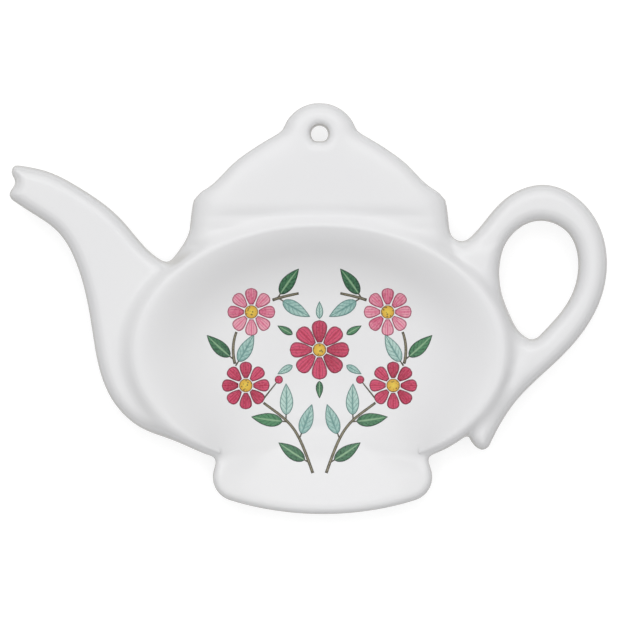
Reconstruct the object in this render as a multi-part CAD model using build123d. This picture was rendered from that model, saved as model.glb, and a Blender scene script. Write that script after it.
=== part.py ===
"""Teapot-shaped tea bag rest: glazed earthenware with a transfer print in the well.

Millimetres, +Z up. The rest lies flat: the pot's own "up" is +Y, its spout is on -X and its handle on +X.
The form is drawn about the middle of the well and moved at the end, so that the origin is the middle of
the underside of the whole.
"""
import os
from math import atan, cos, pi, radians, sin

from build123d import *

# Dish, half sizes and heights
RIM_X = 47.1               # crest of the rim
RIM_Y = 33.2
RIM_Z = 15.0
BELLY_X = 52.2             # widest part
BELLY_Y = 34.7
BELLY_Z = 9.5
RING_X = 34.0              # foot ring that the rest stands on
RING_Y = 22.6
RING_Z = 1.5
RING_WIDTH = 3.5
RECESS = 0.9               # depth of the underside inside the ring, over its glaze
GLAZE = 0.4                # thickness of the glaze inside the ring

# Well
LAND = 1.5                 # from the crest of the rim in to the wall
RIM_EASE = 1.2             # easing of the inner edge of the rim
FLOOR_Z = 5.5
FLOOR_SHARE = 0.73         # share of the well's plan that its flat floor takes

# Foot of the pot, at -Y, and the scoop in it
FOOT_X = 0.8
FOOT_Y = -34.0
FOOT_HALF_X = 29.4
FOOT_HALF_Y = 10.1
FOOT_TOP = 12.4
FOOT_WAIST = 8.4           # height of its widest part
FOOT_UNDER = 2.4
FOOT_TUCK = 5.0            # how far its underside draws in
FOOT_LIP = 3.2             # how far its top draws in
FOOT_CROWN = 0.45          # share of the half depth that the crown of the outline takes
SCOOP_Y = -27.0
SCOOP_HALF_X = 24.0
SCOOP_HALF_Y = 15.2
SCOOP_SHARE = 0.6          # share of the scoop's plan that its flat floor takes
SCOOP_EASE = 1.0

# Spout, between an upper and a lower edge in plan, from the tip to the dish
SPOUT_UPPER = [(-81.6, 49.0), (-73.2, 47.5), (-64.3, 43.1), (-53.1, 34.7), (-44.8, 25.6), (-34.0, 20.0)]
SPOUT_LOWER = [(-83.0, 40.9), (-77.2, 36.8), (-70.3, 31.9), (-65.0, 23.0), (-61.1, 7.0), (-55.4, -13.4),
               (-47.0, -21.2), (-33.0, -24.0)]
SPOUT_STATIONS = 11
LIP_RADIUS = 4.3           # hollow of the spout's mouth
LIP_DEPTH = 1.3

# Handle, between its outer and inner edge in plan, from the dish round to the tail
HANDLE_OUTER = [(34.6, 26.4), (39.2, 29.2), (49.6, 40.4), (60.6, 44.2), (72.4, 37.2), (77.15, 24.1),
                (74.5, 11.8), (64.9, -1.6), (52.8, -13.4), (47.3, -22.2), (45.2, -26.4)]
HANDLE_INNER = [(40.5, 14.0), (44.5, 17.0), (50.4, 29.4), (58.2, 34.5), (66.2, 31.6), (69.2, 22.5),
                (67.0, 13.9), (59.3, 4.3), (47.5, -8.0), (41.0, -22.2), (42.6, -26.6)]
HANDLE_STATIONS = 18

# Seat of the handle against the dish, which rounds off the bottom of the finger loop
SEAT_OUTER = [(47.6, 28.5), (48.4, 17.0), (51.0, 8.2), (56.0, 3.0), (61.5, 1.5)]
SEAT_INNER = [(36.5, 28.0), (37.0, 15.0), (39.5, 3.0), (46.0, -6.0), (54.0, -9.0)]
SEAT_STATIONS = 5
SEAT_HALF_Z = 3.4

# Limbs: spout, handle and seat
LIMB_Z = 8.4               # height of their middle
LIMB_HALF_Z = 3.9
LIMB_ROUND = 0.85          # rounding of a section's top corners as a share of its half thickness
LIMB_BEVEL = 0.6           # bevel of its bottom corners, as above

# Collar below the lid: distance from the middle of the well, half width
COLLAR = [(20.0, 43.0), (25.0, 40.0), (29.5, 36.3), (34.5, 34.6), (40.0, 33.6)]
COLLAR_TOP = 12.4

# Lid, with the knob and its hole for hanging: half widths up to the knob, as for the collar
LID = [(33.0, 34.4), (39.4, 33.8), (41.6, 32.6), (43.4, 30.1), (49.4, 23.8), (53.4, 18.2), (56.8, 12.4)]
LID_TOP = 14.6
LID_BOTTOM = 4.6
STEP_LOW_Y = 35.6          # slope from the collar up to the lid
STEP_HIGH_Y = 39.3
KNOB_Y = 55.7
KNOB_RADIUS = 10.4
KNOB_JOIN = 20.0           # degrees above level where the lid's side runs into the knob
KNOB_END = 85.0            # degrees above level where the knob's crown is cut flat
KNOB_STATIONS = 4
HOLE_Y = 57.9
HOLE_RADIUS = 2.25
HOLE_FLARE = 1.6           # how far the hole opens out at each face

# Transfer print on the floor of the well: a wreath of two mirrored sprays round a rosette
PRINT = 0.12               # thickness of a fired colour
SPRAY = [(1.8, -33.0), (4.0, -27.0), (7.5, -20.5), (16.5, -13.0), (22.6, -4.0), (22.2, 5.0), (16.0, 11.8),
         (5.5, 15.2)]
STEM_WIDTH = 0.8
STEM_STATIONS = 9
GREEN_SHARES = [0.045, 0.235, 0.575, 0.91]
BLUE_SHARES = [0.15, 0.245, 0.55, 0.915]
LEAF_LENGTH = 8.5
LEAF_WIDTH = 3.6
LEAF_NEAR = 0.28           # shares of the length between which a leaf or petal has its full width
LEAF_FAR = 0.62
GREEN_LEAN = -40.0         # degrees from the stem
BLUE_LEAN = 50.0
LEAF_SPACE = 1.3           # from the middle of the stem to a leaf
FLOWER_SHARES = [0.46, 0.79]
FLOWER_RADIUS = 6.4
CENTRE_RADIUS = 1.8
PETALS = 8
PETAL_SHARE = 0.34         # width of a petal as a share of its flower's radius
PETAL_SPACE = 0.35         # bare ring round the centre and round the petals
ROSETTE_RADIUS = 8.0
ROSETTE_LEAVES = 6
ROSETTE_LEAF = 0.55        # size of the rosette's leaves as a share of the others'
BERRY_SHARES = [0.37]
BERRY_RADIUS = 1.1
BERRY_REACH = 7.4          # from the middle of the stem
DOT_SIDES = 10             # outline of a berry or a flower's centre

STEPS = 4                  # sections in each quarter turn of a rounded side
CLEAR = 1.0                # how far a cut runs past what it cuts


def oval(half_width, half_height, crown):
    """Closed outline of four arcs: crowns above and below, joined by round edges."""
    lean = crown * half_height / half_width
    edge = half_height * (1 - crown) / (1 - lean)
    joint = pi / 2 - 2 * atan(lean)
    x = half_width - edge + edge * cos(joint)
    y = edge * sin(joint)
    outline = [
        ThreePointArc((-x, y), (0, half_height), (x, y)),
        ThreePointArc((x, y), (half_width, 0), (x, -y)),
        ThreePointArc((x, -y), (0, -half_height), (-x, -y)),
        ThreePointArc((-x, -y), (-half_width, 0), (-x, y)),
    ]
    return make_face(outline)


def quarter():
    return [pi / 2 * step / (STEPS - 1) for step in range(STEPS)]


def section(half_width, half_height):
    """Section of a limb: round top corners and bevelled bottom ones."""
    radius = LIMB_ROUND * half_height
    bevel = LIMB_BEVEL * half_height
    sag = radius * (1 - cos(pi / 4))
    left = Line((-half_width, bevel - half_height), (-half_width, half_height - radius))
    first = ThreePointArc(left @ 1, (sag - half_width, half_height - sag), (radius - half_width, half_height))
    top = Line(first @ 1, (half_width - radius, half_height))
    second = ThreePointArc(top @ 1, (half_width - sag, half_height - sag), (half_width, half_height - radius))
    rest = Polyline(
        second @ 1,
        (half_width, bevel - half_height),
        (half_width - bevel, -half_height),
        (bevel - half_width, -half_height),
        left @ 0,
    )
    return make_face([left, first, top, second, rest])


def limb(stations):
    """Loft of sections: middle, direction along the limb, half width and greatest half thickness of each."""
    sections = []
    for middle, along, half_width, half_z in stations:
        plane = Plane(origin=middle, x_dir=Vector(0, 0, 1).cross(along), z_dir=along)
        sections.append(plane * section(half_width, min(half_z, half_width)))
    return loft(sections, ruled=True)


def between(edges, count, half_z):
    """Stations of a limb that fills the plan between two edges."""
    first, second = [Spline(*edge) for edge in edges]
    stations = []
    for number in range(count):
        share = number / (count - 1)
        across = first @ share - second @ share
        middle = (first @ share + second @ share) * 0.5 + Vector(0, 0, LIMB_Z)
        along = across.normalized().cross(Vector(0, 0, 1))
        stations.append((middle, along, across.length / 2, half_z))
    return stations


def spout():
    stations = between((SPOUT_UPPER, SPOUT_LOWER), SPOUT_STATIONS, LIMB_HALF_Z)
    mouth, inward = stations[0][:2]
    centre = mouth - inward * (LIP_RADIUS - LIP_DEPTH)
    return limb(stations) - Pos(*centre) * Cylinder(LIP_RADIUS, 4 * LIMB_HALF_Z)


def handle():
    return limb(between((HANDLE_OUTER, HANDLE_INNER), HANDLE_STATIONS, LIMB_HALF_Z))


def seat():
    return limb(between((SEAT_OUTER, SEAT_INNER), SEAT_STATIONS, SEAT_HALF_Z))


def plate(outline, top):
    """Limb along the pot's own height, from half widths at distances from the middle of the well."""
    middle = (top + LID_BOTTOM) / 2
    half_z = (top - LID_BOTTOM) / 2
    return limb([(Vector(0, y, middle), Vector(0, -1, 0), half, half_z) for y, half in outline])


def lid():
    knob = []
    for number in range(KNOB_STATIONS):
        turn = radians(KNOB_JOIN + (KNOB_END - KNOB_JOIN) * number / (KNOB_STATIONS - 1))
        knob.append((KNOB_Y + KNOB_RADIUS * sin(turn), KNOB_RADIUS * cos(turn)))
    above = LID_TOP + CLEAR
    low = min(y for y, _ in LID) - CLEAR
    step = [
        (low, above),
        (low, COLLAR_TOP),
        (STEP_LOW_Y, COLLAR_TOP),
        (STEP_HIGH_Y, LID_TOP),
        (STEP_HIGH_Y, above),
    ]
    wedge = extrude(Plane.YZ * make_face(Polyline(*step, close=True)), BELLY_X, both=True)
    return plate(LID + knob, LID_TOP) - wedge


def hanging_hole():
    """Cutter for the hole in the knob: straight in the middle, opening out to both faces."""
    reach = HOLE_RADIUS + HOLE_FLARE
    low = LID_BOTTOM + HOLE_FLARE
    high = LID_TOP - HOLE_FLARE
    profile = Polyline(
        (0, LID_BOTTOM),
        (reach, LID_BOTTOM),
        (HOLE_RADIUS, low),
        (HOLE_RADIUS, high),
        (reach, LID_TOP),
        (0, LID_TOP),
        close=True,
    )
    return Pos(0, HOLE_Y, 0) * revolve(Plane.XZ * make_face(profile), Axis.Z)


def dish():
    under = []
    over = []
    for turn in quarter():
        x = RING_X + (BELLY_X - RING_X) * sin(turn)
        y = RING_Y + (BELLY_Y - RING_Y) * sin(turn)
        z = RING_Z + (BELLY_Z - RING_Z) * (1 - cos(turn))
        under.append(Pos(0, 0, z) * Ellipse(x, y))
        x = RIM_X + (BELLY_X - RIM_X) * cos(turn)
        y = RIM_Y + (BELLY_Y - RIM_Y) * cos(turn)
        z = BELLY_Z + (RIM_Z - BELLY_Z) * sin(turn)
        over.append(Pos(0, 0, z) * Ellipse(x, y))
    ring = extrude(Ellipse(RING_X, RING_Y), RING_Z + CLEAR)
    return loft(under, ruled=True) + loft(over, ruled=True) + ring


def foot():
    under = []
    over = []
    for turn in quarter():
        tuck = FOOT_TUCK * (1 - sin(turn))
        z = FOOT_WAIST - (FOOT_WAIST - FOOT_UNDER) * cos(turn)
        under.append(Pos(FOOT_X, FOOT_Y, z) * oval(FOOT_HALF_X - tuck, FOOT_HALF_Y - tuck, FOOT_CROWN))
        tuck = FOOT_LIP * (1 - cos(turn))
        z = FOOT_WAIST + (FOOT_TOP - FOOT_WAIST) * sin(turn)
        over.append(Pos(FOOT_X, FOOT_Y, z) * oval(FOOT_HALF_X - tuck, FOOT_HALF_Y - tuck, FOOT_CROWN))
    return loft(under, ruled=True) + loft(over, ruled=True)


def hollow(plan, floor_share, top, ease):
    """A bowl: flat floor, wall that curves up to upright, eased edge, and open above."""
    shoulder = top - ease
    wall = []
    for turn in quarter():
        z = FLOOR_Z + (shoulder - FLOOR_Z) * (1 - cos(turn))
        wall.append(Pos(0, 0, z) * plan(floor_share + (1 - floor_share) * sin(turn)))
    size = plan(1).bounding_box().size
    mouth = Pos(0, 0, top + CLEAR) * plan(1 + 4 * (ease + CLEAR) / (size.X + size.Y))
    return loft(wall + [mouth], ruled=True) + extrude(mouth, RIM_Z + CLEAR - top)


def well():
    def plan(share):
        return Ellipse(share * (RIM_X - LAND), share * (RIM_Y - LAND))
    return hollow(plan, FLOOR_SHARE, RIM_Z, RIM_EASE)


def scoop():
    def plan(share):
        return Pos(0, SCOOP_Y) * oval(share * SCOOP_HALF_X, share * SCOOP_HALF_Y, FOOT_CROWN)
    return hollow(plan, SCOOP_SHARE, FOOT_TOP, SCOOP_EASE)


def underside(height, thickness):
    """Slab as wide as the space inside the foot ring."""
    return Pos(0, 0, height) * extrude(Ellipse(RING_X - RING_WIDTH, RING_Y - RING_WIDTH), thickness)


def leaf(length, width):
    """Pointed leaf or petal from its base at the origin along +X."""
    near = length * LEAF_NEAR
    far = length * LEAF_FAR
    half = width / 2
    return Polyline((0, 0), (near, -half), (far, -half), (length, 0), (far, half), (near, half), close=True)


def dot(radius):
    return RegularPolygon(radius, DOT_SIDES).wire()


def stroke(path, first, last):
    """Band along a path between two shares of its length."""
    left = []
    right = []
    for station in range(STEM_STATIONS):
        share = first + (last - first) * station / (STEM_STATIONS - 1)
        across = (path % share).rotate(Axis.Z, 90) * (STEM_WIDTH / 2)
        left.append(path @ share + across)
        right.insert(0, path @ share - across)
    return Polyline(*left, *right, close=True)


def flower(radius):
    """Petals in a ring about the origin."""
    start = CENTRE_RADIUS + PETAL_SPACE
    petal = Pos(start, 0) * leaf(radius - start, PETAL_SHARE * radius)
    return [Rot(0, 0, 360 / PETALS * number) * petal for number in range(PETALS)]


def spray():
    """Outlines of the spray on the +X side, by colour."""
    path = Spline(*SPRAY)
    gap = (FLOWER_RADIUS + PETAL_SPACE) / path.length
    ends = [0.0]
    for share in FLOWER_SHARES:
        ends += [share - gap, share + gap]
    ends.append(1.0)
    blade = Pos(LEAF_SPACE, 0) * leaf(LEAF_LENGTH, LEAF_WIDTH)
    greens, blues, berries = [
        [Pos(*(path @ share)) * Rot(0, 0, path.tangent_angle_at(share)) for share in shares]
        for shares in (GREEN_SHARES, BLUE_SHARES, BERRY_SHARES)
    ]
    first, second = [Pos(*(path @ share)) for share in FLOWER_SHARES]
    return {
        "print_stems": [stroke(path, *pair) for pair in zip(ends[::2], ends[1::2])],
        "print_green_leaves": [spot * Rot(0, 0, GREEN_LEAN) * blade for spot in greens],
        "print_blue_leaves": [spot * Rot(0, 0, BLUE_LEAN) * blade for spot in blues],
        "print_crimson_petals": [first * petal for petal in flower(FLOWER_RADIUS)]
        + [spot * Pos(0, BERRY_REACH) * dot(BERRY_RADIUS) for spot in berries],
        "print_pink_petals": [second * petal for petal in flower(FLOWER_RADIUS)],
        "print_yellow_centres": [first * dot(CENTRE_RADIUS), second * dot(CENTRE_RADIUS)],
    }


def artwork():
    """Outlines of the whole print, by colour."""
    whole = {name: shapes + [mirror(shape, Plane.YZ) for shape in shapes] for name, shapes in spray().items()}
    whole["print_crimson_petals"] += flower(ROSETTE_RADIUS)
    whole["print_yellow_centres"].append(dot(CENTRE_RADIUS))
    blade = Pos(ROSETTE_RADIUS + PETAL_SPACE, 0) * leaf(ROSETTE_LEAF * LEAF_LENGTH, ROSETTE_LEAF * LEAF_WIDTH)
    turn = 360 / ROSETTE_LEAVES
    for number in range(ROSETTE_LEAVES):
        name = ("print_green_leaves", "print_blue_leaves")[number % 2]
        whole[name].append(Rot(0, 0, turn / 2 + turn * number) * blade)
    return whole


def printed(shapes):
    """Film of one colour on the floor of the well."""
    films = [extrude(make_face(shape), PRINT, dir=(0, 0, 1)) for shape in shapes]
    return Pos(0, 0, FLOOR_Z) * Compound(films)


if __name__ == "__main__":
    os.makedirs("parts", exist_ok=True)
    body = dish() + [foot(), spout(), handle(), seat(), plate(COLLAR, COLLAR_TOP), lid()]
    body = body - [well() + scoop(), underside(0, RECESS + GLAZE), hanging_hole()]
    nodes = {"body": body, "underside_glaze": underside(RECESS, GLAZE)}
    nodes.update({name: printed(shapes) for name, shapes in artwork().items()})
    box = body.bounding_box()
    place = Pos(-box.center().X, -box.center().Y, -box.min.Z)
    for name, solid in nodes.items():
        export_step(place * solid, f"parts/{name}.step")
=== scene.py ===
"""Teapot-shaped tea bag rest: glazed earthenware with a fired flower print, lying flat on a white table.

The pot is drawn in millimetres about the middle of its well, and turned into metres in the part's own frame.
"""

import math

import bmesh
import bpy
import numpy as np
import openvdb
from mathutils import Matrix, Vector


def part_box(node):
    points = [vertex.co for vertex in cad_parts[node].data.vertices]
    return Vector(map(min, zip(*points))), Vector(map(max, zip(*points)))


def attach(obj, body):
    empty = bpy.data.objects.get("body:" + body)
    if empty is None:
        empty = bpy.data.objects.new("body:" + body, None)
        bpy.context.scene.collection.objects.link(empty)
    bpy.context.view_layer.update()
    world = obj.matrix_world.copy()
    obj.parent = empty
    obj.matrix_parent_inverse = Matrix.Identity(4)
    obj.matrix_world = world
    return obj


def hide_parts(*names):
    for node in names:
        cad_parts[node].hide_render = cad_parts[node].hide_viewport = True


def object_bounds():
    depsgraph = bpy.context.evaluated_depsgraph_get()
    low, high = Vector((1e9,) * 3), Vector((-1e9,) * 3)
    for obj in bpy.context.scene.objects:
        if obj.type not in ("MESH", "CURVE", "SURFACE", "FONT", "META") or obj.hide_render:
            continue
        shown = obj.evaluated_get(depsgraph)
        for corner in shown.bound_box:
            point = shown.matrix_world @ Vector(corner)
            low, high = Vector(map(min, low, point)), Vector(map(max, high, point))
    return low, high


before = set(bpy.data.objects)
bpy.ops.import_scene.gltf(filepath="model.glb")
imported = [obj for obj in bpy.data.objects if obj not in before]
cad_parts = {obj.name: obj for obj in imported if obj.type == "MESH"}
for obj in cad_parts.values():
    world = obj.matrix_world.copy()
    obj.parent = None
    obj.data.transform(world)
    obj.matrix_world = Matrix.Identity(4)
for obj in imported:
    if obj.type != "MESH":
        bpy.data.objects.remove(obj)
cad_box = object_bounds()

MM = 0.001
ring_low, ring_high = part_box("underside_glaze")
MIDDLE = np.array([(ring_low[axis] + ring_high[axis]) / 2 for axis in range(2)])  # of the well, in metres

# Dish: half width, half depth and height of its levels, in millimetres like all that follows
RIM = (47.1, 33.2, 15.4)   # crest of the rim, before it is eased
BELLY = (52.2, 34.7, 9.5)  # widest part
RING = (34.0, 22.6, 1.5)   # foot ring that the pot stands on
RING_WIDTH = 3.5
RECESS = 0.9               # from the table up to the glaze inside the ring
POOL = 0.4                 # thickness of that glaze
POOL_SINK = 0.1            # how far it reaches into the clay
POOL_EDGE = 2.5            # width of its rounded edge
DRY_Z = 0.12               # height up to which the ring is wiped dry

# Well, and the foot of the pot with the scoop that runs into the well
LAND = 1.7                 # from the crest of the rim in to the wall of the well
WELL_Z = 5.3               # height of the floor at the middle of the well
WELL_SWEEP = 3.2           # power by which the well rises from its middle to its edge
FOOT_MIDDLE = (0.8, -34.0)
FOOT_HALF = (29.4, 10.05)
FOOT_Z = (2.4, 10.2)       # underside and top
SCOOP_MIDDLE = (0.0, -27.0)
SCOOP_HALF = (25.0, 16.0)
SCOOP_Z = 5.6              # height of the scoop's floor
SCOOP_SWEEP = 1.7
SCOOP_RUN = 1.2            # stretch of its upper half, which runs out in the well
WAIST = (25.5, -27.5)      # where the edge of the well turns into the foot
WAIST_WIDTH = 6.0          # distance over which its wider blend fades
CROWN = 0.45               # share of an oval's half depth that its crown takes
ARC_STEPS = (12, 16)       # points along a quarter of an oval's end and crown

# Spout and handle: edges in plan, from end to end
SPOUT_UPPER = [(-80.4, 49.4), (-73.2, 47.9), (-64.3, 43.5), (-53.1, 35.0), (-44.8, 25.8), (-34.0, 20.0)]
SPOUT_LOWER = [(-82.2, 40.1), (-77.2, 36.8), (-70.3, 31.9), (-65.0, 23.0), (-61.1, 7.0), (-55.4, -13.4),
               (-47.0, -21.2), (-33.0, -24.0)]
MOUTH = [(-82.2, 40.1), (-82.9, 41.2), (-82.8, 42.3), (-81.7, 44.0), (-81.5, 45.3), (-82.3, 47.0),
         (-82.3, 48.3), (-81.6, 49.3), (-80.4, 49.4)]  # two lips with a shallow hollow between them
HANDLE_OUTER = [(34.6, 26.4), (39.2, 29.2), (49.6, 40.4), (60.6, 44.2), (72.4, 37.2), (76.9, 24.1),
                (74.5, 11.8), (64.9, -1.6), (52.8, -13.4), (47.4, -21.6), (45.9, -24.6)]
HANDLE_INNER = [(40.5, 14.0), (44.5, 17.0), (50.4, 29.4), (58.2, 34.5), (66.2, 31.6), (69.2, 22.5),
                (67.0, 13.9), (59.3, 4.3), (47.5, -8.0), (40.0, -19.0), (40.4, -24.2)]
TAIL = [(45.9, -24.6), (45.0, -26.1), (43.6, -26.7), (41.8, -25.9), (40.4, -24.2)]
SEAT_OUTER = [(47.6, 28.5), (48.4, 17.0), (51.0, 8.2), (56.0, 3.0), (61.5, 1.5)]
SEAT_INNER = [(36.5, 28.0), (37.0, 15.0), (39.5, 3.0), (46.0, -6.0), (54.0, -9.0)]
LIMB_Z = (4.5, 12.3)

# Lid: half widths at places up the pot, with a collar along the rim and a knob with a hole for hanging
COLLAR = [(20.0, 43.0), (25.0, 40.0), (29.5, 36.0), (34.5, 34.2), (40.0, 33.3)]
COLLAR_TOP = 12.9
LID = [(33.0, 34.1), (39.4, 33.5), (41.6, 32.3), (43.4, 29.8), (49.4, 23.5), (53.4, 18.3), (56.8, 12.8)]
LID_Z = (4.6, 14.9)
STEP_Y = (35.6, 39.3)      # slope from the collar up to the lid
DOME_FALL = 2.3            # how far the lid falls towards its edge
DOME_WIDTH = 12.0          # how far in from the edge that begins
LID_ENDS = (23.0, 34.4)    # half widths between which it rolls off to its sides
LID_ENDS_FALL = 4.2
KNOB_Y = 55.7
KNOB_RADIUS = 10.3
KNOB_TURNS = range(20, 91, 10)  # degrees at which the knob's outline has a point
HOLE_Y = 57.7
HOLE_RADIUS = 2.3
HOLE_FLAT = 55.8           # where the hole is level along its lower side

# Edges: their rounding, and the reach of the blends where forms meet
RING_ROUND = 0.5
RECESS_ROUND = 0.3
FOOT_ROUND = 2.8
LIMB_ROUND = 3.85
SEAT_ROUND = 3.8
LID_ROUND = 4.2
COLLAR_ROUND = 4.0
SOFT = 3.5                 # where foot, spout and lid run into the dish
HANDLE_SOFT = 2.2          # the same for the handle, which keeps a groove along the rim
RIM_SOFT = 4.6
RING_SOFT = 1.0
RECESS_SOFT = 0.6
SEAT_SOFT = 2.0
DOME_SOFT = 2.0
STEP_SOFT = 0.8
COLLAR_SOFT = 1.5
SCOOP_SOFT = 8.0
WAIST_SOFT = 2.5           # what is added to that at the waist
HOLE_SOFT = 3.2

# Print: a wreath of two mirrored sprays round a rosette
PRINT = (-0.15, 0.1)       # from inside the glaze to the top of the fired colours
SPRAY = [(1.8, -33.0), (4.0, -27.0), (7.5, -20.5), (16.5, -13.0), (22.6, -4.0), (22.2, 5.0), (16.0, 11.8),
         (5.5, 15.2)]
SPRAY_STEPS = 800          # short steps into which a spray is divided
STEM_STRIDE = 8            # how many of them one step of a stem takes
STEM_WIDTH = 0.8
STEM_TAPER = 0.85          # width at its end as a share of its width at its start
STALK_WIDTH = 0.45
STALK_TAPER = 0.7
STALK_LAP = 0.3            # how far a stalk runs into its leaf
GREEN_SHARES = [0.045, 0.235, 0.575, 0.91]  # places along a spray
GREEN_LEAN = -40.0         # degrees from the stem
BLUE_SHARES = [0.15, 0.245, 0.55, 0.915]
BLUE_LEAN = 50.0
LEAF = (8.5, 3.6)          # length and width
LEAF_WIDEST = 0.75         # power that moves a leaf's widest place towards its base
LEAF_FULLNESS = 0.85       # power that fills out its sides
LEAF_BEND = 0.5            # how far its tip curls to the side
LEAF_SPACE = 1.3           # from the middle of the stem to a leaf
FLOWER_SHARES = [0.46, 0.79]
FLOWER_RADIUS = 6.4
CENTRE_RADIUS = 1.8
PETALS = 8
PETAL_SHARE = 0.52         # width of a petal as a share of its flower's radius
PETAL_CROWN = 0.7          # share of the length at which a petal is widest
PETAL_BASE = 0.3           # width at its base as a share of its greatest width
PETAL_CROWDING = 0.8       # power that crowds a petal's points towards its crown
PETAL_SPACE = 0.35         # bare ring round the centre and round the petals
ROSETTE_RADIUS = 8.0
ROSETTE_LEAVES = 6
ROSETTE_LEAF = 0.55        # size of the rosette's leaves as a share of the others'
BERRY_SHARE = 0.37
BERRY_RADIUS = 1.1
BERRY_REACH = 7.4          # from the middle of the stem
NET = (17, 9)              # points along and across a printed motif
TIP = 0.05                 # half width left at a pointed end
MENISCUS = 0.3             # width of the rounded edge of a fired colour
EDGE_DROP = 0.3            # how far such an edge falls, as a share of the thickness

# How finely the pot is formed
GRID = 0.4                 # spacing of the points at which the form is worked out
MARGIN = 3.0               # empty space round the pot
HAIR = 1e-4                # keeps grid points off the corners of the outlines
LEAST_SLOPE = 0.05         # keeps a field from being divided by nothing
LEAST_STEP = 1e-9          # square of a step that counts as none
LINE_STEPS = 120           # points along a drawn edge
EASE_FACTOR = 0.5          # smoothing of the finished mesh
EASE_ROUNDS = 4

# Stage, in metres and watts
TABLE_REACH = 1.5
TABLE_GLOW = 0.76          # what the table shows to the camera and in reflections, but doesn't cast
SKY = (0.06, 0.8)          # strength at the horizon and overhead
LAMPS = (                  # place, size and power
    ("window", (-0.12, 0.9, 1.0), 1.4, 5.5),
    ("ceiling", (0.0, 0.2, 1.6), 2.0, 6.5),
)
CAMERA = (0.2 * MM, 0.0, 1.0)
SENSOR = 36.0              # millimetres
PICTURE_WIDTH = 165.35 * MM
PICTURE_Z = 8.5 * MM       # height at which the picture is that wide


# Drawing

def smooth_line(points, count=LINE_STEPS):
    """Points along a natural cubic curve through the given ones."""
    knots = np.array(points, float)
    at = np.concatenate([[0.0], np.cumsum(np.linalg.norm(np.diff(knots, axis=0), axis=1))])
    step = np.diff(at)
    slope = np.diff(knots, axis=0) / step[:, None]
    matrix = np.eye(len(knots))
    right = np.zeros_like(knots)
    for k in range(1, len(knots) - 1):
        matrix[k, k - 1:k + 2] = step[k - 1], 2 * (step[k - 1] + step[k]), step[k]
        right[k] = 6 * (slope[k] - slope[k - 1])
    bend = np.linalg.solve(matrix, right)
    where = np.linspace(0, at[-1], count)
    k = np.clip(np.searchsorted(at, where) - 1, 0, len(step) - 1)
    before = (where - at[k])[:, None]
    after = (at[k + 1] - where)[:, None]
    run = step[k][:, None]
    return (bend[k] * after ** 3 + bend[k + 1] * before ** 3) / (6 * run) \
        + (knots[k] / run - bend[k] * run / 6) * after + (knots[k + 1] / run - bend[k + 1] * run / 6) * before


def drawn(*lines):
    """Closed outline of smooth lines set end to end."""
    return np.concatenate([smooth_line(line) for line in lines])


def mirrored(half):
    """Closed outline from half widths at places on the pot's axis."""
    right = [(width, y) for y, width in half]
    return np.array(right + [(-width, y) for width, y in reversed(right)])


def oval(middle, half):
    """Closed outline of four arcs: crowns above and below, joined by round ends."""
    lean = CROWN * half[1] / half[0]
    end = half[1] * (1 - CROWN) / (1 - lean)
    joint = math.pi / 2 - 2 * math.atan(lean)
    x, y = half[0] - end + end * math.cos(joint), end * math.sin(joint)
    radius = (x * x + (half[1] - y) ** 2) / (2 * (half[1] - y))
    spread = math.asin(x / radius)
    quarter = [(half[0] - end + end * math.cos(a), end * math.sin(a))
               for a in np.linspace(0, joint, ARC_STEPS[0])]
    quarter += [(radius * math.sin(a), half[1] - radius + radius * math.cos(a))
                for a in np.linspace(spread, 0, ARC_STEPS[1])[1:]]
    q = np.array(quarter)
    half_turn = np.concatenate([q, q[::-1][1:] * (-1, 1)])
    return np.concatenate([half_turn, half_turn[1:-1] * -1]) + middle


# Forms: each is a field of rough distances from a surface, negative inside it

low = np.array([value / MM for value in cad_box[0]])
high = np.array([value / MM for value in cad_box[1]])
shift = np.array([*(MIDDLE / MM), 0.0])
start = low - shift - MARGIN
counts = np.ceil((high - low + 2 * MARGIN) / GRID).astype(int) + 1
X, Y, Z = [(start[axis] + GRID * np.arange(counts[axis])).astype(np.float32) for axis in range(3)]
FLAT_X, FLAT_Y = np.meshgrid(X + HAIR, Y + HAIR, indexing="ij")


def inside_of(outline):
    """Distance in plan from a closed outline."""
    nearest = np.full(FLAT_X.shape, np.inf, np.float32)
    within = np.zeros(FLAT_X.shape, bool)
    for (ax, ay), (bx, by) in zip(outline, np.roll(outline, -1, axis=0)):
        ex, ey = bx - ax, by - ay
        if ex * ex + ey * ey < LEAST_STEP:
            continue
        along = np.clip(((FLAT_X - ax) * ex + (FLAT_Y - ay) * ey) / (ex * ex + ey * ey), 0, 1)
        nearest = np.minimum(nearest, (FLAT_X - ax - ex * along) ** 2 + (FLAT_Y - ay - ey * along) ** 2)
        if ay != by:
            crosses = ((ay > FLAT_Y) != (by > FLAT_Y)) & (FLAT_X < ax + (FLAT_Y - ay) / (by - ay) * ex)
            within ^= crosses
    return np.where(within, -np.sqrt(nearest), np.sqrt(nearest))


def inside_ellipse(half_x, half_y):
    """Distance in plan from an ellipse about the middle of the well."""
    near = np.hypot(FLAT_X / half_x, FLAT_Y / half_y)
    return near * (near - 1) / np.hypot(FLAT_X / half_x ** 2, FLAT_Y / half_y ** 2)


def even(field):
    """The field with slopes of about one near its surface."""
    slopes = np.gradient(field, GRID)
    return field / np.maximum(np.sqrt(sum(slope * slope for slope in slopes)), LEAST_SLOPE)


def slab(plan, heights, rounding):
    """Plate of a plan's outline with rounded edges."""
    side = plan[:, :, None] + rounding
    face = np.abs(Z - sum(heights) / 2) - (heights[1] - heights[0]) / 2 + rounding
    corner = np.hypot(np.maximum(side, 0), np.maximum(face, 0))
    return (np.minimum(np.maximum(side, face), 0) + corner - rounding).astype(np.float32)


def joined(first, second, reach):
    """Both forms, with a soft hollow where they meet."""
    share = np.maximum(reach - np.abs(first - second), 0) / reach
    return np.minimum(first, second) - share * share * reach / 4


def cut(form, away, reach):
    """The form without the other, its new edge eased."""
    return -joined(-form, away, reach)


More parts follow.
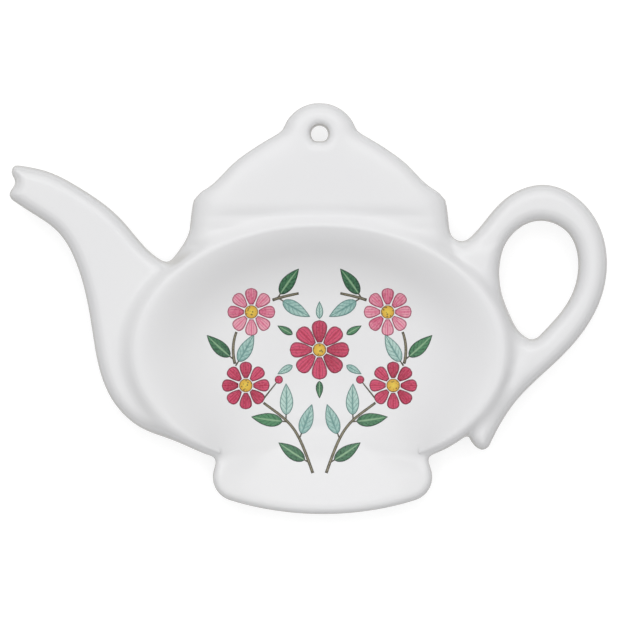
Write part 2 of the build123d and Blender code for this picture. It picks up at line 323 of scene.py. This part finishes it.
def shell(inner, outer, level, side):
    """Form that is level inside the inner plan and curves round to upright at the outer one."""
    run = (inner / (inner - outer))[:, :, None]
    rise = (side - Z) / (side - level)
    reach = np.hypot(np.maximum(run, 0), np.maximum(rise, 0))
    return even(((reach - 1) * (inner - outer)[:, :, None]).astype(np.float32))


def above(height):
    """All that lies above a surface of the given heights."""
    return even((height[:, :, None] - Z).astype(np.float32))


def basin(share, bottom, top, sweep):
    """Hollow that rises smoothly from its middle, where the share is 0, to its edge, where it is 1."""
    return above(bottom + (top - bottom) * np.maximum(share, 0) ** sweep)


def dish():
    """Oval dish with a rolled rim, drawn in below to its foot ring."""
    rim, belly, ring = [inside_ellipse(*size[:2]) for size in (RIM, BELLY, RING)]
    over = shell(rim, belly, RIM[2], BELLY[2])
    under = shell(ring, belly, RING[2], BELLY[2])
    return joined(np.where(Z >= BELLY[2], over, under), slab(ring, (0.0, BELLY[2]), RING_ROUND), RING_SOFT)


def foot():
    """Oval plate that makes the teapot's foot in plan."""
    return slab(inside_of(oval(FOOT_MIDDLE, FOOT_HALF)), FOOT_Z, FOOT_ROUND)


def spout():
    """Curved spout from the dish out to its two lips."""
    return slab(inside_of(drawn(SPOUT_UPPER, SPOUT_LOWER[::-1], MOUTH)), LIMB_Z, LIMB_ROUND)


def handle():
    """Loop with a tail, and the seat that joins it to the rim."""
    loop = slab(inside_of(drawn(HANDLE_OUTER, TAIL, HANDLE_INNER[::-1])), LIMB_Z, LIMB_ROUND)
    seat = slab(inside_of(drawn(SEAT_OUTER, SEAT_INNER[::-1])), LIMB_Z, SEAT_ROUND)
    return joined(loop, seat, SEAT_SOFT)


def domed_lid():
    """Plate whose top falls towards its outer edge, but not towards the well."""
    turns = [math.radians(turn) for turn in KNOB_TURNS]
    knob = [(KNOB_Y + KNOB_RADIUS * math.sin(turn), KNOB_RADIUS * math.cos(turn)) for turn in turns]
    outline = mirrored(smooth_line(LID + knob, 2 * LINE_STEPS))
    outer = np.where(outline[:, 1] < STEP_Y[0], outline[:, 1] - DOME_WIDTH, outline[:, 1])
    inset = inside_of(np.column_stack([outline[:, 0], outer])) / DOME_WIDTH
    top = LID_Z[1] - DOME_FALL * np.maximum(1 + inset, 0) ** 2
    return cut(slab(inside_of(outline), LID_Z, LID_ROUND), above(top), DOME_SOFT)


def lid():
    """Domed lid, its step down to the collar, and the roll-off at its sides."""
    share = np.clip((Y - STEP_Y[0]) / (STEP_Y[1] - STEP_Y[0]), 0, 1)
    top = COLLAR_TOP + (LID_Z[1] - COLLAR_TOP) * share
    form = cut(domed_lid(), (top[:, None] - Z).astype(np.float32), STEP_SOFT)
    collar = slab(inside_of(mirrored(smooth_line(COLLAR))), (LID_Z[0], COLLAR_TOP), COLLAR_ROUND)
    end = np.maximum(np.abs(FLAT_X) - LID_ENDS[0], 0) / (LID_ENDS[1] - LID_ENDS[0])
    return cut(joined(form, collar, COLLAR_SOFT), above(LID_Z[1] - LID_ENDS_FALL * end * end), DOME_SOFT)


def hollow():
    """Well and scoop as one bowl."""
    well = basin(np.hypot(FLAT_X / (RIM[0] - LAND), FLAT_Y / (RIM[1] - LAND)), WELL_Z, RIM[2], WELL_SWEEP)
    edge = oval(SCOOP_MIDDLE, SCOOP_HALF)
    edge[:, 1] += SCOOP_RUN * np.maximum(edge[:, 1] - SCOOP_MIDDLE[1], 0)
    scoop = basin(1 + inside_of(edge) / SCOOP_HALF[1], SCOOP_Z, FOOT_Z[1], SCOOP_SWEEP)
    away = np.hypot(np.abs(FLAT_X) - WAIST[0], FLAT_Y - WAIST[1]) / WAIST_WIDTH
    reach = SCOOP_SOFT + WAIST_SOFT * np.exp(-away * away)
    return joined(well, scoop, reach[:, :, None].astype(np.float32))


def pot():
    """The whole casting, with its well, hole and underside."""
    form = dish()
    for limb, reach in ((foot(), SOFT), (spout(), SOFT), (handle(), HANDLE_SOFT), (lid(), SOFT)):
        form = joined(form, limb, reach)
    form = cut(form, hollow(), RIM_SOFT)
    inner = inside_ellipse(RING[0] - RING_WIDTH, RING[1] - RING_WIDTH)
    form = cut(form, slab(inner, (-MARGIN, RECESS + POOL), RECESS_ROUND), RECESS_SOFT)
    hole = np.maximum(np.hypot(FLAT_X, FLAT_Y - HOLE_Y) - HOLE_RADIUS, HOLE_FLAT - FLAT_Y)
    return cut(form, hole[:, :, None], HOLE_SOFT)


def metres(points):
    """Drawn millimetres as metres in the part's frame."""
    return (np.asarray(points) + shift) * MM


def upper_face(field):
    """Height of a form's upper face over the whole grid."""
    level = np.clip(len(Z) - 1 - np.argmax(field[:, :, ::-1] < 0, axis=2), 0, len(Z) - 2)[:, :, None]
    first, second = [np.take_along_axis(field, level + step, axis=2)[:, :, 0] for step in (0, 1)]
    return Z[level[:, :, 0]] + GRID * first / (first - second)


def ground(height, places):
    """Height at plan points."""
    at = (np.asarray(places) - start[:2]) / GRID
    cell = np.floor(at).astype(int)
    x, y = (at - cell).T
    i, j = cell.T
    return (height[i, j] * (1 - x) + height[i + 1, j] * x) * (1 - y) \
        + (height[i, j + 1] * (1 - x) + height[i + 1, j + 1] * x) * y


def surface(name, field):
    """Closed smooth mesh of a field's zero level."""
    grid = openvdb.FloatGrid(1.0)
    grid.copyFromArray(np.ascontiguousarray(field, np.float32))
    points, quads = grid.convertToQuads(isovalue=0.0)
    mesh = bpy.data.meshes.new(name)
    mesh.from_pydata(metres(points * GRID + start).tolist(), [], quads.tolist())
    mesh.update()
    mesh.polygons.foreach_set("use_smooth", [True] * len(mesh.polygons))
    piece = bpy.data.objects.new(name, mesh)
    bpy.context.collection.objects.link(piece)
    return piece


# Printed motifs: each is a net of plan points with its shares along and across

def band(line, half):
    """Net of a blade or stroke along a line, as wide as given at each point."""
    line = np.asarray(line, float)
    run = np.gradient(line, axis=0)
    side = run[:, ::-1] * (-1, 1) / np.linalg.norm(run, axis=1)[:, None]
    across = np.linspace(-1, 1, NET[1])
    net = line[:, None] + side[:, None] * (np.asarray(half)[:, None] * across)[:, :, None]
    along = np.linspace(0, 1, len(line))
    return net, *np.meshgrid(along, across, indexing="ij")


def disc(middle, radius, radius_y=None):
    """Net of a round or elliptic spot."""
    side = np.linspace(-1, 1, NET[0])
    u, v = np.meshgrid(side, side, indexing="ij")
    net = np.stack([u * np.sqrt(1 - v * v / 2), v * np.sqrt(1 - u * u / 2)], axis=2)
    share = np.linalg.norm(net, axis=2)
    turn = np.arctan2(net[:, :, 1], net[:, :, 0]) / math.pi
    return net * (radius, radius_y or radius) + middle, share, turn


def turned(angle):
    """Step of one unit in a direction."""
    return np.array([math.cos(angle), math.sin(angle)])


def leaf(base, angle, size=1.0, bend=0.0):
    """Leaf with a round base, pointed tip and a slight curl."""
    share = np.linspace(0, 1, NET[0])
    forward, side = turned(angle), turned(angle + math.pi / 2)
    line = base + size * (LEAF[0] * share[:, None] * forward + bend * share[:, None] ** 2 * side)
    half = size * LEAF[1] / 2 * np.sin(math.pi * share ** LEAF_WIDEST).clip(0) ** LEAF_FULLNESS
    return band(line, np.maximum(half, TIP))


def flower(middle, radius):
    """Petals with round crowns in a ring."""
    share = np.linspace(0, 1, NET[0]) ** PETAL_CROWDING
    widest = PETAL_SHARE * radius / 2
    rising = PETAL_BASE + (1 - PETAL_BASE) * np.sin(math.pi / 2 * np.minimum(share / PETAL_CROWN, 1))
    closing = np.sqrt((1 - (np.maximum(share - PETAL_CROWN, 0) / (1 - PETAL_CROWN)) ** 2).clip(0))
    half = np.maximum(widest * rising * closing, TIP)
    reach = CENTRE_RADIUS + PETAL_SPACE / 2 + (radius - CENTRE_RADIUS - PETAL_SPACE / 2) * share
    turns = 2 * math.pi * np.arange(PETALS) / PETALS
    return [band(middle + reach[:, None] * turned(turn), half) for turn in turns]


def wreath():
    """All motifs of the print by the node that they stand for."""
    path = smooth_line(SPRAY, SPRAY_STEPS + 1)
    runs = np.gradient(path, axis=0)
    length = np.linalg.norm(np.diff(path, axis=0), axis=1).sum()

    def spot(share):
        number = round(share * SPRAY_STEPS)
        return path[number], math.atan2(runs[number][1], runs[number][0])

    def stalk(first, last):
        share = np.linspace(0, 1, NET[0])
        width = STALK_WIDTH * (1 - (1 - STALK_TAPER) * share)
        return band(first + (last - first) * share[:, None], width / 2)

    stems, greens, blues = [], [], []
    for leaves, shares, lean in ((greens, GREEN_SHARES, GREEN_LEAN), (blues, BLUE_SHARES, BLUE_LEAN)):
        for share in shares:
            point, angle = spot(share)
            angle += math.radians(lean)
            base = point + LEAF_SPACE * turned(angle)
            leaves.append(leaf(base, angle, 1.0, math.copysign(LEAF_BEND, -lean)))
            stems.append(stalk(point, base + STALK_LAP * turned(angle)))
    first, second = [spot(share)[0] for share in FLOWER_SHARES]
    crimsons, pinks = flower(first, FLOWER_RADIUS), flower(second, FLOWER_RADIUS)
    point, angle = spot(BERRY_SHARE)
    outward = turned(angle + math.pi / 2)
    crimsons.append(disc(point + BERRY_REACH * outward, BERRY_RADIUS))
    stems.append(stalk(point, point + (BERRY_REACH - BERRY_RADIUS) * outward))
    centres = [disc(first, CENTRE_RADIUS), disc(second, CENTRE_RADIUS)]
    gap = (FLOWER_RADIUS + PETAL_SPACE / 2) / length
    ends = [0.0] + [share + step for share in FLOWER_SHARES for step in (-gap, gap)] + [1.0]
    for lower, upper in zip(ends[::2], ends[1::2]):
        line = path[round(lower * SPRAY_STEPS):round(upper * SPRAY_STEPS) + 1:STEM_STRIDE]
        stems.append(band(line, np.linspace(STEM_WIDTH, STEM_WIDTH * STEM_TAPER, len(line)) / 2))
    whole = [stems, greens, blues, crimsons, pinks, centres]
    for motifs in whole:
        motifs += [(net[:, ::-1] * (-1, 1), along[:, ::-1], across[:, ::-1]) for net, along, across in motifs]
    crimsons += flower(np.zeros(2), ROSETTE_RADIUS)
    centres.append(disc(np.zeros(2), CENTRE_RADIUS))
    for number in range(ROSETTE_LEAVES):
        angle = 2 * math.pi * (number + 0.5) / ROSETTE_LEAVES
        base = (ROSETTE_RADIUS + PETAL_SPACE) * turned(angle)
        (greens, blues)[number % 2].append(leaf(base, angle, ROSETTE_LEAF))
    return whole


def film(name, motifs, level, heights, meniscus):
    """Thin closed piece of separate motifs, from below a level to above it. Each point keeps its motif's
    shares and its distance from the edge."""
    points, faces, motif, tone = [], [], [], []
    chance = np.random.default_rng(len(motifs))
    for net, along, across in motifs:
        rows, columns = along.shape
        number = np.arange(rows * columns).reshape(rows, columns)
        rim = np.concatenate([number[:-1, 0], number[-1, :-1], number[:0:-1, -1], number[0, :0:-1]])
        flat = net.reshape(-1, 2)
        edge = flat[rim]
        step = np.roll(edge, -1, axis=0) - edge
        away = flat[:, None] - edge
        share = ((away * step).sum(2) / np.maximum((step * step).sum(1), LEAST_STEP)).clip(0, 1)
        inset = np.linalg.norm(away - share[:, :, None] * step, axis=2).min(1)
        rise = np.sqrt(1 - (1 - (inset / meniscus).clip(0, 1)) ** 2)
        face = heights[1] - EDGE_DROP * (heights[1] - heights[0]) * (1 - rise)
        base = len(points)
        for height in (face, heights[0]):
            points += np.column_stack([flat, level(flat) + height]).tolist()
        corners = [number[:-1, :-1], number[1:, :-1], number[1:, 1:], number[:-1, 1:]]
        quads = np.stack(corners, axis=2).reshape(-1, 4)
        under = rows * columns
        walls = np.stack([rim, np.roll(rim, -1), np.roll(rim, -1) + under, rim + under], axis=1)
        for group in (quads[:, ::-1], quads + under, walls[:, ::-1]):
            faces += (group + base).tolist()
        motif += np.tile(np.stack([along.ravel(), across.ravel(), inset], axis=1), (2, 1)).ravel().tolist()
        tone += [chance.random()] * (2 * under)
    mesh = bpy.data.meshes.new(name)
    mesh.from_pydata(metres(points).tolist(), [], faces)
    mesh.attributes.new("motif", "FLOAT_VECTOR", "POINT").data.foreach_set("vector", motif)
    mesh.attributes.new("tone", "FLOAT", "POINT").data.foreach_set("value", tone)
    mesh.update()
    form = bmesh.new()
    form.from_mesh(mesh)
    bmesh.ops.recalc_face_normals(form, faces=form.faces)
    form.to_mesh(mesh)
    form.free()
    piece = bpy.data.objects.new(name, mesh)
    bpy.context.collection.objects.link(piece)
    return piece


# Materials. A mix of colours has its factor at socket 0, its colours at 6 and 7, and its result at 2

def linear(code):
    """Linear colour of an sRGB hex value."""
    parts = [int(code[k:k + 2], 16) / 255 for k in (1, 3, 5)]
    return [c / 12.92 if c <= 0.04045 else ((c + 0.055) / 1.055) ** 2.4 for c in parts] + [1.0]


def add(tree, kind, inputs=None, **settings):
    """Add a node with its settings, and set or link its inputs."""
    item = tree.nodes.new(kind)
    for name, value in settings.items():
        setattr(item, name, value)
    for name, value in (inputs or {}).items():
        if isinstance(value, bpy.types.NodeSocket):
            tree.links.new(value, item.inputs[name])
        else:
            item.inputs[name].default_value = value
    return item


def new_material(name):
    """Empty material and its nodes."""
    material = bpy.data.materials.new(name)
    material.use_nodes = True
    material.node_tree.nodes.clear()
    return material, material.node_tree


def glazed_earthenware():
    """White earthenware, cast and dipped in a clear gloss glaze: an even soft white with a broad sheen. Steep
    faces are painted darker and warmer. This is painted shade, where the pot's sides turn away from the lamps
    overhead, and it also stands for glaze running thinner there. The glaze has a slow ripple like orange peel."""
    material, tree = new_material("glazed_white_earthenware")
    spot = add(tree, "ShaderNodeNewGeometry")
    place = spot.outputs["Position"]
    facing = add(tree, "ShaderNodeSeparateXYZ", {"Vector": spot.outputs["Normal"]})
    level = add(tree, "ShaderNodeMath", {0: facing.outputs["Z"]}, operation="ABSOLUTE")
    cloud = add(tree, "ShaderNodeTexNoise", {"Vector": place, "Scale": 1 / (30 * MM), "Detail": 3.0})
    ripple = add(tree, "ShaderNodeTexNoise", {"Vector": place, "Scale": 1 / (5 * MM), "Detail": 1.0})
    # Painted shade: the steeper a face, the more it is darkened towards a warm grey (#CFCCC6 below). This also
    # stands for glaze running thinner there.
    steep_painted_shade = add(tree, "ShaderNodeMapRange", {
        "Value": level.outputs[0], "From Min": 0.65, "From Max": 0.15, "To Max": 0.9,
    }, interpolation_type="SMOOTHSTEP")
    thick_coat = add(tree, "ShaderNodeMix", {
        0: cloud.outputs["Fac"], 6: linear("#F1F1F1"), 7: linear("#EEEEF0"),
    }, data_type="RGBA")
    # Mixes in the painted shade of steep faces as a warm grey.
    tint = add(tree, "ShaderNodeMix", {
        0: steep_painted_shade.outputs["Result"], 6: thick_coat.outputs[2], 7: linear("#CFCCC6"),
    }, data_type="RGBA")
    gloss = add(tree, "ShaderNodeMapRange", {"Value": cloud.outputs["Fac"], "To Min": 0.16, "To Max": 0.24})
    bump = add(tree, "ShaderNodeBump", {
        "Height": ripple.outputs["Fac"], "Strength": 0.05, "Distance": 0.3 * MM,
    })
    shader = add(tree, "ShaderNodeBsdfPrincipled", {
        "Base Color": tint.outputs[2], "Roughness": gloss.outputs["Result"], "IOR": 1.5,
        "Normal": bump.outputs["Normal"],
    })
    add(tree, "ShaderNodeOutputMaterial", {"Surface": shader.outputs["BSDF"]})
    return material


def bare_biscuit():
    """Earthenware with no glaze, wiped dry before firing: matt, warm, with a fine grit."""
    material, tree = new_material("bare_biscuit_earthenware")
    place = add(tree, "ShaderNodeNewGeometry").outputs["Position"]
    grit = add(tree, "ShaderNodeTexNoise", {"Vector": place, "Scale": 1 / (0.6 * MM), "Detail": 4.0})
    tint = add(tree, "ShaderNodeMix", {
        0: grit.outputs["Fac"], 6: linear("#E9E2D4"), 7: linear("#CFC6B4"),
    }, data_type="RGBA")
    bump = add(tree, "ShaderNodeBump", {
        "Height": grit.outputs["Fac"], "Strength": 0.5, "Distance": 0.1 * MM,
    })
    shader = add(tree, "ShaderNodeBsdfPrincipled", {
        "Base Color": tint.outputs[2], "Roughness": 0.85, "Normal": bump.outputs["Normal"],
    })
    add(tree, "ShaderNodeOutputMaterial", {"Surface": shader.outputs["BSDF"]})
    return material


def fired_colour(name, deep, pale, ink, veins, lean, rib):
    """Ceramic colour printed as a transfer and fired into the glaze: glossy, with an inked outline and veins,
    and stippled shading from deep to pale. Veins are counted along a motif, and lean by a count across it. The
    outline is measured in millimetres from the edge. The stipple of a real print is finer than the render
    shows, so it is drawn at 0.7 mm."""
    material, tree = new_material(name)
    motif = add(tree, "ShaderNodeAttribute", attribute_name="motif")
    tone = add(tree, "ShaderNodeAttribute", attribute_name="tone")
    place = add(tree, "ShaderNodeNewGeometry").outputs["Position"]
    part = add(tree, "ShaderNodeSeparateXYZ", {"Vector": motif.outputs["Vector"]})
    side = add(tree, "ShaderNodeMath", {0: part.outputs["Y"]}, operation="ABSOLUTE")
    stipple = add(tree, "ShaderNodeTexNoise", {"Vector": place, "Scale": 1 / (0.7 * MM), "Detail": 2.0})
    grown = add(tree, "ShaderNodeMath", {
        0: part.outputs["X"], 1: 0.75, 2: tone.outputs["Fac"],
    }, operation="MULTIPLY_ADD")
    mottled = add(tree, "ShaderNodeMath", {
        0: stipple.outputs["Fac"], 1: 1.6, 2: grown.outputs[0],
    }, operation="MULTIPLY_ADD")
    shade = add(tree, "ShaderNodeMapRange", {"Value": mottled.outputs[0], "From Min": 0.7, "From Max": 2.0})
    fill = add(tree, "ShaderNodeMix", {
        0: shade.outputs[0], 6: linear(deep), 7: linear(pale),
    }, data_type="RGBA")
    leaning = add(tree, "ShaderNodeMath", {0: side.outputs[0], 1: lean}, operation="MULTIPLY")
    phase = add(tree, "ShaderNodeMath", {
        0: part.outputs["X"], 1: veins, 2: leaning.outputs[0],
    }, operation="MULTIPLY_ADD")
    wave = add(tree, "ShaderNodeMath", {0: phase.outputs[0], 1: 0.5}, operation="PINGPONG")
    vein = add(tree, "ShaderNodeMapRange", {
        "Value": wave.outputs[0], "From Min": 0.03, "From Max": 0.2, "To Min": 0.5, "To Max": 0.0,
    }, interpolation_type="SMOOTHSTEP")
    veined = add(tree, "ShaderNodeMix", {
        0: vein.outputs[0], 6: fill.outputs[2], 7: linear(ink),
    }, data_type="RGBA")
    middle = add(tree, "ShaderNodeMapRange", {
        "Value": side.outputs[0], "From Min": 0.06, "From Max": 0.2, "To Min": 0.85, "To Max": 0.0,
    }, interpolation_type="SMOOTHSTEP")
    ribbed = add(tree, "ShaderNodeMix", {
        0: middle.outputs[0], 6: veined.outputs[2], 7: linear(rib),
    }, data_type="RGBA")
    outline = add(tree, "ShaderNodeMapRange", {
        "Value": part.outputs["Z"], "From Min": 0.12, "From Max": 0.34, "To Min": 0.85, "To Max": 0.0,
    }, interpolation_type="SMOOTHSTEP")
    inked = add(tree, "ShaderNodeMix", {
        0: outline.outputs[0], 6: ribbed.outputs[2], 7: linear(ink),
    }, data_type="RGBA")
    gloss = add(tree, "ShaderNodeMapRange", {"Value": stipple.outputs["Fac"], "To Min": 0.2, "To Max": 0.36})
    bump = add(tree, "ShaderNodeBump", {
        "Height": stipple.outputs["Fac"], "Strength": 0.12, "Distance": 0.05 * MM,
    })
    shader = add(tree, "ShaderNodeBsdfPrincipled", {
        "Base Color": inked.outputs[2], "Roughness": gloss.outputs["Result"], "IOR": 1.5,
        "Normal": bump.outputs["Normal"],
    })
    add(tree, "ShaderNodeOutputMaterial", {"Surface": shader.outputs["BSDF"]})
    return material


def fired_stamens():
    """Yellow ceramic colour with brown dots for stamens, fired into the glaze: glossy, with an inked ring."""
    material, tree = new_material("fired_yellow_stamen_print")
    motif = add(tree, "ShaderNodeAttribute", attribute_name="motif")
    place = add(tree, "ShaderNodeNewGeometry").outputs["Position"]
    part = add(tree, "ShaderNodeSeparateXYZ", {"Vector": motif.outputs["Vector"]})
    cells = add(tree, "ShaderNodeTexVoronoi", {"Vector": place, "Scale": 1 / (0.75 * MM)})
    warm = add(tree, "ShaderNodeMix", {
        0: part.outputs["X"], 6: linear("#F0D24A"), 7: linear("#D9A32C"),
    }, data_type="RGBA")
    dots = add(tree, "ShaderNodeMapRange", {
        "Value": cells.outputs["Distance"], "From Min": 0.18, "From Max": 0.42, "To Min": 0.9, "To Max": 0.0,
    }, interpolation_type="SMOOTHSTEP")
    dotted = add(tree, "ShaderNodeMix", {
        0: dots.outputs[0], 6: warm.outputs[2], 7: linear("#6F5A1E"),
    }, data_type="RGBA")
    outline = add(tree, "ShaderNodeMapRange", {
        "Value": part.outputs["Z"], "From Min": 0.1, "From Max": 0.3, "To Min": 0.8, "To Max": 0.0,
    }, interpolation_type="SMOOTHSTEP")
    inked = add(tree, "ShaderNodeMix", {
        0: outline.outputs[0], 6: dotted.outputs[2], 7: linear("#5A3A1E"),
    }, data_type="RGBA")
    bump = add(tree, "ShaderNodeBump", {
        "Height": cells.outputs["Distance"], "Strength": 0.15, "Distance": 0.05 * MM,
    })
    shader = add(tree, "ShaderNodeBsdfPrincipled", {
        "Base Color": inked.outputs[2], "Roughness": 0.28, "IOR": 1.5, "Normal": bump.outputs["Normal"],
    })
    add(tree, "ShaderNodeOutputMaterial", {"Surface": shader.outputs["BSDF"]})
    return material


# Pieces

def body(form, glaze):
    """The glazed casting, with its foot ring left bare."""
    piece = surface("pot", form)
    ease = piece.modifiers.new("ease", "SMOOTH")
    ease.factor = EASE_FACTOR
    ease.iterations = EASE_ROUNDS
    piece.data.materials.append(glaze)
    piece.data.materials.append(bare_biscuit())
    dry = [int(face.center.z < DRY_Z * MM) for face in piece.data.polygons]
    piece.data.polygons.foreach_set("material_index", dry)
    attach(piece, "root")
    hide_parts("body")


def underside(glaze):
    """Glaze that pooled inside the foot ring, rounded off along the ring."""
    spot = disc(np.zeros(2), RING[0] - RING_WIDTH, RING[1] - RING_WIDTH)

    def ceiling(places):
        return np.full(len(places), RECESS + POOL)

    piece = film("foot_ring_glaze", [spot], ceiling, (POOL_SINK, -POOL), POOL_EDGE)
    piece.data.materials.append(glaze)
    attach(piece, "root")
    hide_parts("underside_glaze")


def prints(form):
    """Six colours of the print, in the order in which they are laid."""
    finishes = (
        ("stems", fired_colour(
            "fired_brown_stem_print", "#5F5A48", "#8C8468", "#3E3A2E", 9.0, 0.4, "#9A927A")),
        ("green_leaves", fired_colour(
            "fired_green_leaf_print", "#23593C", "#4C8A5E", "#17352A", 6.0, -1.6, "#8FB98F")),
        ("blue_leaves", fired_colour(
            "fired_blue_green_leaf_print", "#86B5AE", "#BBD9D0", "#3F6E6A", 6.0, -1.6, "#5E8F89")),
        ("crimson_petals", fired_colour(
            "fired_crimson_petal_print", "#A3143A", "#D8486E", "#5E1026", 0.0, 2.5, "#B5234A")),
        ("pink_petals", fired_colour(
            "fired_pink_petal_print", "#CF4A73", "#EFA3B6", "#8C2346", 0.0, 2.5, "#DB6A8C")),
        ("yellow_centres", fired_stamens()),
    )
    height = upper_face(form)
    for (name, material), motifs in zip(finishes, wreath()):
        piece = film("fired_" + name, motifs, lambda places: ground(height, places), PRINT, MENISCUS)
        piece.data.materials.append(material)
        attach(piece, "root")
        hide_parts("print_" + name)


def stage():
    """White table, soft light from above and from the pot's lid side, and the camera straight above."""
    scene = bpy.context.scene
    mesh = bpy.data.meshes.new("table")
    corners = [(TABLE_REACH * x, TABLE_REACH * y, 0) for x, y in ((-1, -1), (1, -1), (1, 1), (-1, 1))]
    mesh.from_pydata(corners, [], [(0, 1, 2, 3)])
    table = bpy.data.objects.new("table", mesh)
    bpy.context.collection.objects.link(table)
    material, tree = new_material("white_table")
    seen = add(tree, "ShaderNodeLightPath")
    direct = add(tree, "ShaderNodeMath", {
        0: seen.outputs["Is Camera Ray"], 1: seen.outputs["Is Glossy Ray"],
    }, operation="MAXIMUM")
    shown = add(tree, "ShaderNodeMath", {
        0: direct.outputs[0], 1: seen.outputs["Is Transmission Ray"],
    }, operation="MAXIMUM")
    paper = add(tree, "ShaderNodeBsdfDiffuse", {"Color": linear("#A8A8A8")})
    glow = add(tree, "ShaderNodeEmission", {"Color": linear("#FFFFFF"), "Strength": TABLE_GLOW})
    lit = add(tree, "ShaderNodeAddShader", {0: paper.outputs[0], 1: glow.outputs[0]})
    both = add(tree, "ShaderNodeMixShader", {0: shown.outputs[0], 1: paper.outputs[0], 2: lit.outputs[0]})
    add(tree, "ShaderNodeOutputMaterial", {"Surface": both.outputs[0]})
    mesh.materials.append(material)

    world = bpy.data.worlds.new("studio")
    scene.world = world
    world.use_nodes = True
    tree = world.node_tree
    tree.nodes.clear()
    way = add(tree, "ShaderNodeSeparateXYZ", {"Vector": add(tree, "ShaderNodeTexCoord").outputs["Generated"]})
    rising = add(tree, "ShaderNodeMapRange", {"Value": way.outputs["Z"], "To Min": SKY[0], "To Max": SKY[1]})
    sky = add(tree, "ShaderNodeBackground", {"Color": linear("#FFFFFF"), "Strength": rising.outputs["Result"]})
    add(tree, "ShaderNodeOutputWorld", {"Surface": sky.outputs["Background"]})

    for name, place, size, power in LAMPS:
        lamp = bpy.data.lights.new(name, "AREA")
        lamp.shape = "SQUARE"
        lamp.size = size
        lamp.energy = power
        holder = bpy.data.objects.new(name, lamp)
        holder.location = place
        holder.rotation_euler = Vector(place).to_track_quat("Z", "Y").to_euler()
        bpy.context.collection.objects.link(holder)

    lens = bpy.data.cameras.new("camera")
    lens.sensor_width = SENSOR
    lens.lens = SENSOR * (CAMERA[2] - PICTURE_Z) / PICTURE_WIDTH
    camera = bpy.data.objects.new("camera", lens)
    camera.location = CAMERA
    bpy.context.collection.objects.link(camera)
    scene.camera = camera
    scene.view_settings.view_transform = "Standard"


coat = glazed_earthenware()
casting = pot()
body(casting, coat)
underside(coat)
prints(casting)
stage()
